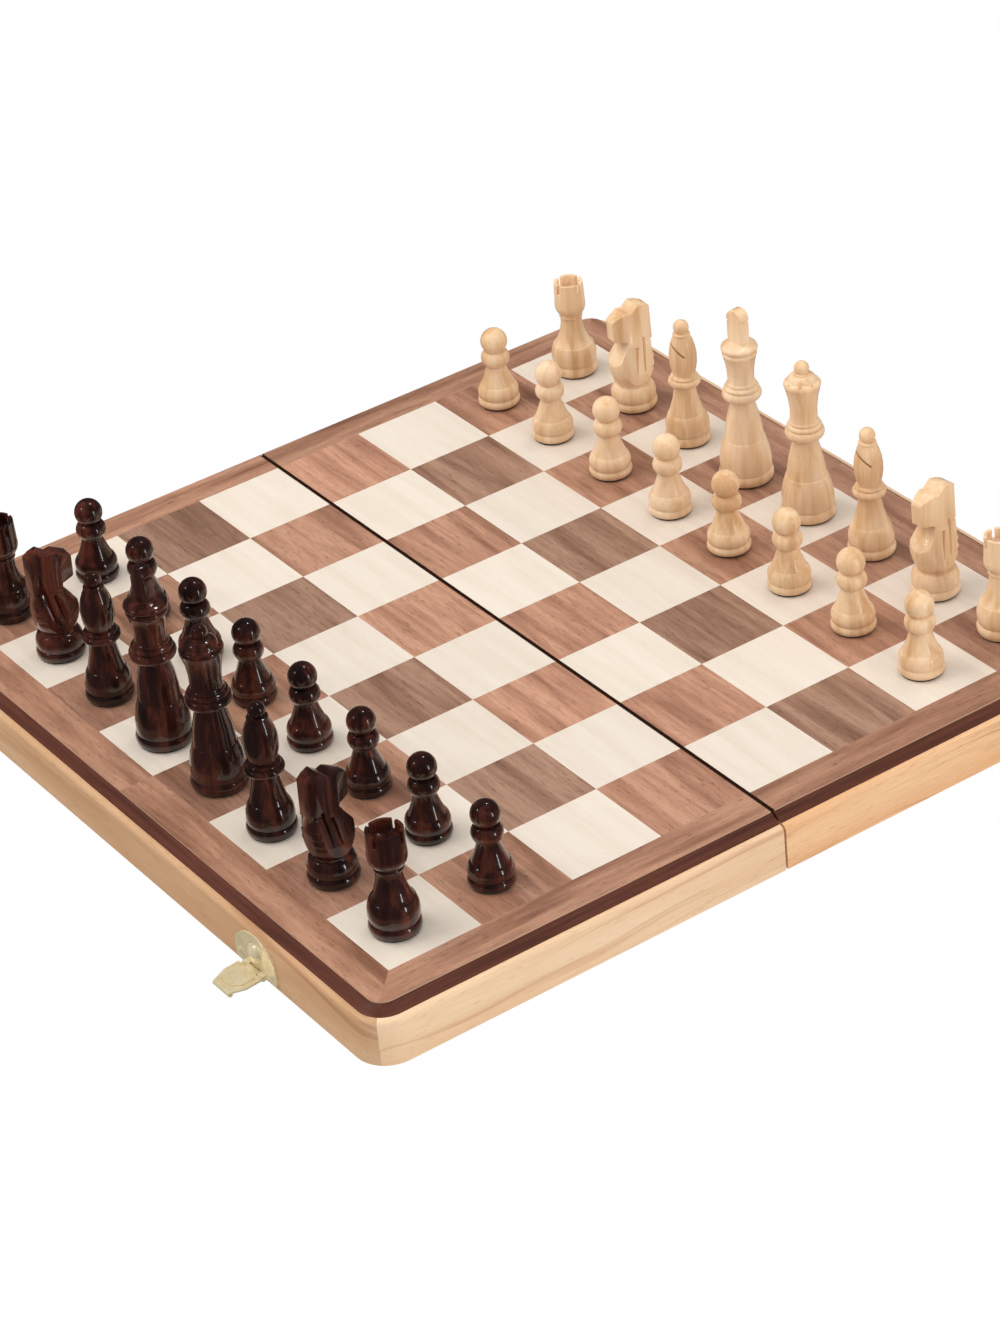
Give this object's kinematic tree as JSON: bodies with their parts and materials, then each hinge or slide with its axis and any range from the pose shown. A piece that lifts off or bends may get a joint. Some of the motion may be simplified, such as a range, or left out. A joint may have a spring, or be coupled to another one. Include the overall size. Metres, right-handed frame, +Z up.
{
  "type": "folding chess set",
  "caption": "Wooden box in two hinged trays that opens flat into an inlaid chess board, with turned and carved men of two colours standing ready to play.",
  "frame": {"origin": "on the fold line at the middle of the board, in the plane of the rims that the open box stands on", "axes": "+X across the fold from the dark men to the light men, +Y along the fold from the a file to the h file, +Z up out of the playing surface"},
  "size_m": [0.4003, 0.381, 0.1074],
  "materials": {
    "maple": "satin lacquer",
    "walnut": "satin lacquer",
    "stained_panel": "dark stained edge, satin",
    "wall_wood": "satin lacquer",
    "felt": "woollen baize",
    "brass": "polished",
    "dark_wood": "gloss lacquer",
    "boxwood": "gloss lacquer"
  },
  "bodies": {
    "left_half": {"panel_left": "stained_panel", "maple_squares_left": "maple", "walnut_veneer_left": "walnut", "end_wall_left": "wall_wood", "front_wall_left": "wall_wood", "back_wall_left": "wall_wood", "seam_wall_left": "wall_wood", "tray_lining_left": "felt", "hinge_leaves_left": "brass", "hinge_screws_left": "brass", "plate_nails_left": "brass", "hinge_pins": "brass", "clasp_plates": "brass", "clasp_pins": "brass"},
    "right_half": {"panel_right": "stained_panel", "maple_squares_right": "maple", "walnut_veneer_right": "walnut", "end_wall_right": "wall_wood", "front_wall_right": "wall_wood", "back_wall_right": "wall_wood", "seam_wall_right": "wall_wood", "tray_lining_right": "felt", "hinge_leaves_right": "brass", "hinge_screws_right": "brass", "plate_nails_right": "brass", "clasp_catches": "brass"},
    "clasp_flap_front": {"clasp_flap_front": "brass"},
    "clasp_flap_back": {"clasp_flap_back": "brass"},
    "dark_rook_a": {"dark_rook_a": "dark_wood"},
    "dark_knight_b": {"dark_knight_b": "dark_wood"},
    "dark_bishop_c": {"dark_bishop_c": "dark_wood"},
    "dark_queen": {"dark_queen": "dark_wood"},
    "dark_king": {"dark_king": "dark_wood"},
    "dark_bishop_f": {"dark_bishop_f": "dark_wood"},
    "dark_knight_g": {"dark_knight_g": "dark_wood"},
    "dark_rook_h": {"dark_rook_h": "dark_wood"},
    "dark_pawn_a": {"dark_pawn_a": "dark_wood"},
    "dark_pawn_b": {"dark_pawn_b": "dark_wood"},
    "dark_pawn_c": {"dark_pawn_c": "dark_wood"},
    "dark_pawn_d": {"dark_pawn_d": "dark_wood"},
    "dark_pawn_e": {"dark_pawn_e": "dark_wood"},
    "dark_pawn_f": {"dark_pawn_f": "dark_wood"},
    "dark_pawn_g": {"dark_pawn_g": "dark_wood"},
    "dark_pawn_h": {"dark_pawn_h": "dark_wood"},
    "light_rook_a": {"light_rook_a": "boxwood"},
    "light_knight_b": {"light_knight_b": "boxwood"},
    "light_bishop_c": {"light_bishop_c": "boxwood"},
    "light_queen": {"light_queen": "boxwood"},
    "light_king": {"light_king": "boxwood"},
    "light_bishop_f": {"light_bishop_f": "boxwood"},
    "light_knight_g": {"light_knight_g": "boxwood"},
    "light_rook_h": {"light_rook_h": "boxwood"},
    "light_pawn_a": {"light_pawn_a": "boxwood"},
    "light_pawn_b": {"light_pawn_b": "boxwood"},
    "light_pawn_c": {"light_pawn_c": "boxwood"},
    "light_pawn_d": {"light_pawn_d": "boxwood"},
    "light_pawn_e": {"light_pawn_e": "boxwood"},
    "light_pawn_f": {"light_pawn_f": "boxwood"},
    "light_pawn_g": {"light_pawn_g": "boxwood"},
    "light_pawn_h": {"light_pawn_h": "boxwood"}
  },
  "joints": [
    {"name": "board_fold", "type": "hinge", "parent": "left_half", "child": "right_half", "pos_m": [0, 0, 0], "axis": [0, 1, 0], "range_deg": [0, 180]},
    {"name": "clasp_front_swing", "type": "hinge", "parent": "left_half", "child": "clasp_flap_front", "pos_m": [-0.19255, -0.109, 0.0024], "axis": [0, -1, 0], "range_deg": [-60, 85]},
    {"name": "clasp_back_swing", "type": "hinge", "parent": "left_half", "child": "clasp_flap_back", "pos_m": [-0.19255, 0.109, 0.0024], "axis": [0, -1, 0], "range_deg": [-60, 85]},
    {"name": "dark_rook_a_lift", "type": "slide", "parent": "left_half", "child": "dark_rook_a", "axis": [0, 0, 1], "range_m": [0, 0.12]},
    {"name": "dark_knight_b_lift", "type": "slide", "parent": "left_half", "child": "dark_knight_b", "axis": [0, 0, 1], "range_m": [0, 0.12]},
    {"name": "dark_bishop_c_lift", "type": "slide", "parent": "left_half", "child": "dark_bishop_c", "axis": [0, 0, 1], "range_m": [0, 0.12]},
    {"name": "dark_queen_lift", "type": "slide", "parent": "left_half", "child": "dark_queen", "axis": [0, 0, 1], "range_m": [0, 0.12]},
    {"name": "dark_king_lift", "type": "slide", "parent": "left_half", "child": "dark_king", "axis": [0, 0, 1], "range_m": [0, 0.12]},
    {"name": "dark_bishop_f_lift", "type": "slide", "parent": "left_half", "child": "dark_bishop_f", "axis": [0, 0, 1], "range_m": [0, 0.12]},
    {"name": "dark_knight_g_lift", "type": "slide", "parent": "left_half", "child": "dark_knight_g", "axis": [0, 0, 1], "range_m": [0, 0.12]},
    {"name": "dark_rook_h_lift", "type": "slide", "parent": "left_half", "child": "dark_rook_h", "axis": [0, 0, 1], "range_m": [0, 0.12]},
    {"name": "dark_pawn_a_lift", "type": "slide", "parent": "left_half", "child": "dark_pawn_a", "axis": [0, 0, 1], "range_m": [0, 0.12]},
    {"name": "dark_pawn_b_lift", "type": "slide", "parent": "left_half", "child": "dark_pawn_b", "axis": [0, 0, 1], "range_m": [0, 0.12]},
    {"name": "dark_pawn_c_lift", "type": "slide", "parent": "left_half", "child": "dark_pawn_c", "axis": [0, 0, 1], "range_m": [0, 0.12]},
    {"name": "dark_pawn_d_lift", "type": "slide", "parent": "left_half", "child": "dark_pawn_d", "axis": [0, 0, 1], "range_m": [0, 0.12]},
    {"name": "dark_pawn_e_lift", "type": "slide", "parent": "left_half", "child": "dark_pawn_e", "axis": [0, 0, 1], "range_m": [0, 0.12]},
    {"name": "dark_pawn_f_lift", "type": "slide", "parent": "left_half", "child": "dark_pawn_f", "axis": [0, 0, 1], "range_m": [0, 0.12]},
    {"name": "dark_pawn_g_lift", "type": "slide", "parent": "left_half", "child": "dark_pawn_g", "axis": [0, 0, 1], "range_m": [0, 0.12]},
    {"name": "dark_pawn_h_lift", "type": "slide", "parent": "left_half", "child": "dark_pawn_h", "axis": [0, 0, 1], "range_m": [0, 0.12]},
    {"name": "light_rook_a_lift", "type": "slide", "parent": "right_half", "child": "light_rook_a", "axis": [0, 0, 1], "range_m": [0, 0.12]},
    {"name": "light_knight_b_lift", "type": "slide", "parent": "right_half", "child": "light_knight_b", "axis": [0, 0, 1], "range_m": [0, 0.12]},
    {"name": "light_bishop_c_lift", "type": "slide", "parent": "right_half", "child": "light_bishop_c", "axis": [0, 0, 1], "range_m": [0, 0.12]},
    {"name": "light_queen_lift", "type": "slide", "parent": "right_half", "child": "light_queen", "axis": [0, 0, 1], "range_m": [0, 0.12]},
    {"name": "light_king_lift", "type": "slide", "parent": "right_half", "child": "light_king", "axis": [0, 0, 1], "range_m": [0, 0.12]},
    {"name": "light_bishop_f_lift", "type": "slide", "parent": "right_half", "child": "light_bishop_f", "axis": [0, 0, 1], "range_m": [0, 0.12]},
    {"name": "light_knight_g_lift", "type": "slide", "parent": "right_half", "child": "light_knight_g", "axis": [0, 0, 1], "range_m": [0, 0.12]},
    {"name": "light_rook_h_lift", "type": "slide", "parent": "right_half", "child": "light_rook_h", "axis": [0, 0, 1], "range_m": [0, 0.12]},
    {"name": "light_pawn_a_lift", "type": "slide", "parent": "right_half", "child": "light_pawn_a", "axis": [0, 0, 1], "range_m": [0, 0.12]},
    {"name": "light_pawn_b_lift", "type": "slide", "parent": "right_half", "child": "light_pawn_b", "axis": [0, 0, 1], "range_m": [0, 0.12]},
    {"name": "light_pawn_c_lift", "type": "slide", "parent": "right_half", "child": "light_pawn_c", "axis": [0, 0, 1], "range_m": [0, 0.12]},
    {"name": "light_pawn_d_lift", "type": "slide", "parent": "right_half", "child": "light_pawn_d", "axis": [0, 0, 1], "range_m": [0, 0.12]},
    {"name": "light_pawn_e_lift", "type": "slide", "parent": "right_half", "child": "light_pawn_e", "axis": [0, 0, 1], "range_m": [0, 0.12]},
    {"name": "light_pawn_f_lift", "type": "slide", "parent": "right_half", "child": "light_pawn_f", "axis": [0, 0, 1], "range_m": [0, 0.12]},
    {"name": "light_pawn_g_lift", "type": "slide", "parent": "right_half", "child": "light_pawn_g", "axis": [0, 0, 1], "range_m": [0, 0.12]},
    {"name": "light_pawn_h_lift", "type": "slide", "parent": "right_half", "child": "light_pawn_h", "axis": [0, 0, 1], "range_m": [0, 0.12]}
  ]
}
